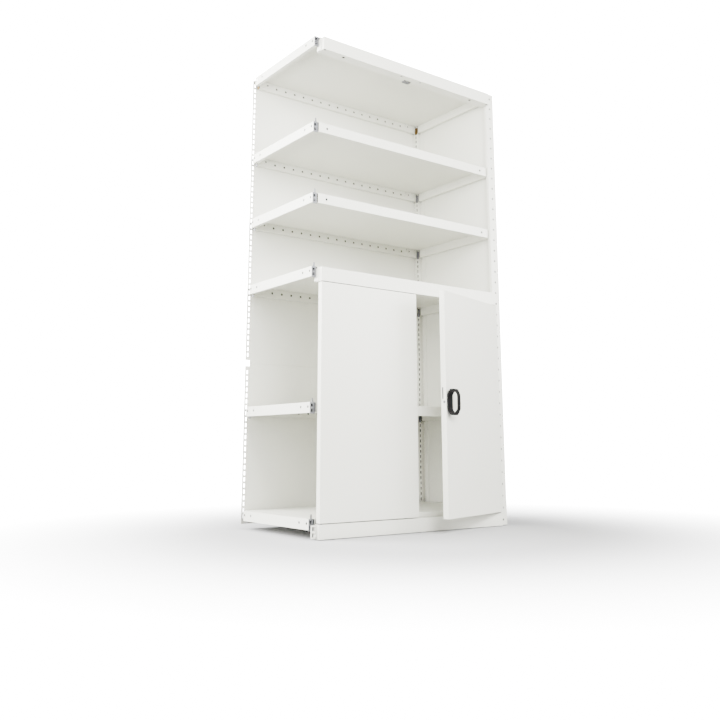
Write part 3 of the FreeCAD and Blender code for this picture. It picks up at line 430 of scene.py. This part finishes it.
def makeGrip():
    outward = Vector(doorNormal).normalized()
    across = outward.cross(up).normalized()
    points = [vert.co for vert in nodes[grip["node"]].data.vertices]
    spans = []
    for way in (outward, across, up):
        reach = [point.dot(way) for point in points]
        spans.append((min(reach), max(reach)))
    (near, far), (left, right), (low, high) = spans
    half, depth, baseWidth = (high - low) / 2, far - near, right - left
    middle = outward * near + across * (left + right) / 2 + up * (low + high) / 2
    outer = roundedLoop(octagon(0, depth, half, grip["cornerRun"], grip["cornerRise"]))
    inner = roundedLoop(octagon(grip["baseThickness"], depth - grip["bowThickness"],
                                half - grip["endThickness"], grip["innerRun"], grip["innerRise"]))

    def place(point, side):
        narrowing = (point.x - grip["baseThickness"]) / (depth - grip["baseThickness"])
        width = baseWidth + min(1, max(0, narrowing)) * (grip["bowWidth"] - baseWidth)
        return middle + outward * point.x + across * side * width / 2 + up * point.y

    work = bmesh.new()
    rings = [[work.verts.new(place(point, side)) for point in loop]
             for loop, side in ((outer, -1), (outer, 1), (inner, 1), (inner, -1))]
    for first, second in zip(rings, rings[1:] + rings[:1]):
        for i in range(len(first)):
            work.faces.new((first[i - 1], first[i], second[i], second[i - 1]))
    bmesh.ops.recalc_face_normals(work, faces=work.faces)
    mesh = bpy.data.meshes.new("bowGrip")
    work.to_mesh(mesh)
    work.free()
    mesh.materials.append(finishes[grip["slot"]])
    mesh.shade_smooth()
    piece = newPiece("bowGrip", mesh, grip["node"], grip["body"])
    rounding = piece.modifiers.new("roundedEdges", "BEVEL")
    rounding.width = grip["edgeRadius"]
    rounding.segments = grip["edgeSteps"]
    rounding.limit_method = "ANGLE"
    rounding.angle_limit = math.radians(grip["edgeAngle"])
    rounding.harden_normals = True


makeGrip()
print("fasteners and grip shaped")

# studio: a pale floor, soft light mostly from the left, a white backdrop that hardly lights the object
studio = {
    "floorRadius": 9.0, "floorSides": 96, "floorColor": (0.42, 0.42, 0.42, 1), "floorRoughness": 0.8,
    "floorFade": (0.6, 3.0), "backdrop": 30.0, "ambient": 0.15,
    "lamps": {
        "windowLight": {
            "place": (-3.0, -0.3, 1.6), "aim": (0.0, 0.2, 1.0), "size": (2.5, 2.5), "power": 340.0},
        "rearWindowLight": {
            "place": (-2.5, 1.8, 1.8), "aim": (0.0, 0.2, 1.0), "size": (2.0, 2.0), "power": 370.0},
        "endLight": {
            "place": (-1.8, 1.3, 2.4), "aim": (-0.3, 0.2, 1.2), "size": (1.5, 1.5), "power": 125.0},
        "frontLight": {
            "place": (0.3, -2.4, 2.2), "aim": (0.0, 0.2, 1.6), "size": (2.0, 1.0), "power": 100.0},
        "fillLight": {
            "place": (-0.8, -2.0, 1.7), "aim": (0.2, 0.3, 1.5), "size": (1.0, 1.0), "power": 168.0},
        "rightLight": {
            "place": (2.2, -2.0, 1.6), "aim": (0.4, -0.1, 0.9), "size": (1.5, 1.5), "power": 185.0},
    },
}


def makeFloor():
    sides, radius = studio["floorSides"], studio["floorRadius"]
    turns = [2 * math.pi * i / sides for i in range(sides)]
    rim = [(radius * math.cos(turn), radius * math.sin(turn), 0) for turn in turns]
    mesh = bpy.data.meshes.new("floor")
    mesh.from_pydata(rim, [], [list(range(sides))])
    floor = bpy.data.objects.new("floor", mesh)
    bpy.context.scene.collection.objects.link(floor)
    cover = bpy.data.materials.new("paleFloor")
    cover.use_nodes = True
    tree = cover.node_tree
    shader = tree.nodes["Principled BSDF"].inputs
    shader["Base Color"].default_value = studio["floorColor"]
    shader["Roughness"].default_value = studio["floorRoughness"]
    # the floor thins out with distance and lets the white backdrop through
    place = addNode(tree, "ShaderNodeTexCoord").outputs["Object"]
    far = addNode(tree, "ShaderNodeVectorMath", {0: place}, operation="LENGTH").outputs["Value"]
    fadeStart, fadeEnd = studio["floorFade"]
    fade = addNode(tree, "ShaderNodeMapRange", {
        "Value": far, "From Min": fadeStart, "From Max": fadeEnd, "To Min": 1.0, "To Max": 0.0},
        interpolation_type="SMOOTHSTEP")
    tree.links.new(fade.outputs[0], shader["Alpha"])
    mesh.materials.append(cover)


def makeSoftbox(name, settings):
    lamp = bpy.data.lights.new(name, "AREA")
    lamp.shape = "RECTANGLE"
    lamp.size, lamp.size_y = settings["size"]
    lamp.energy = settings["power"]
    box = bpy.data.objects.new(name, lamp)
    box.location = settings["place"]
    aim = Vector(settings["aim"]) - Vector(settings["place"])
    box.rotation_euler = aim.to_track_quat("-Z", "Y").to_euler()
    box.visible_camera = False
    bpy.context.scene.collection.objects.link(box)


def makeSky():
    sky = bpy.data.worlds.new("studioSky")
    sky.use_nodes = True
    tree = sky.node_tree
    glow = tree.nodes["Background"].inputs
    path = addNode(tree, "ShaderNodeLightPath").outputs["Is Camera Ray"]
    strength = remap(tree, path, (0.0, 1.0), studio["ambient"], studio["backdrop"])
    glow["Color"].default_value = (1, 1, 1, 1)
    tree.links.new(strength, glow["Strength"])
    bpy.context.scene.world = sky


makeFloor()
for name, settings in studio["lamps"].items():
    makeSoftbox(name, settings)
makeSky()

# the photograph's viewpoint, in metres, degrees and pixels of its frame
photoCamera = {
    "place": (-2.21065, -2.61129, 0.33370), "turn": 36.5774, "lift": 11.7169, "focalPixels": 822.44,
    "centreColumn": 360.55, "centreRow": 276.35, "imageSize": 720.0, "sensorWidth": 36.0,
}


def makeCamera():
    size = photoCamera["imageSize"]
    lens = bpy.data.cameras.new("photoCamera")
    lens.sensor_width = photoCamera["sensorWidth"]
    lens.lens = photoCamera["focalPixels"] * photoCamera["sensorWidth"] / size
    lens.shift_x = (size / 2 - photoCamera["centreColumn"]) / size
    lens.shift_y = (photoCamera["centreRow"] - size / 2) / size
    camera = bpy.data.objects.new("photoCamera", lens)
    camera.location = photoCamera["place"]
    camera.rotation_euler = (math.radians(90 + photoCamera["lift"]), 0, -math.radians(photoCamera["turn"]))
    bpy.context.scene.collection.objects.link(camera)
    bpy.context.scene.camera = camera


makeCamera()
print("studio and camera set")
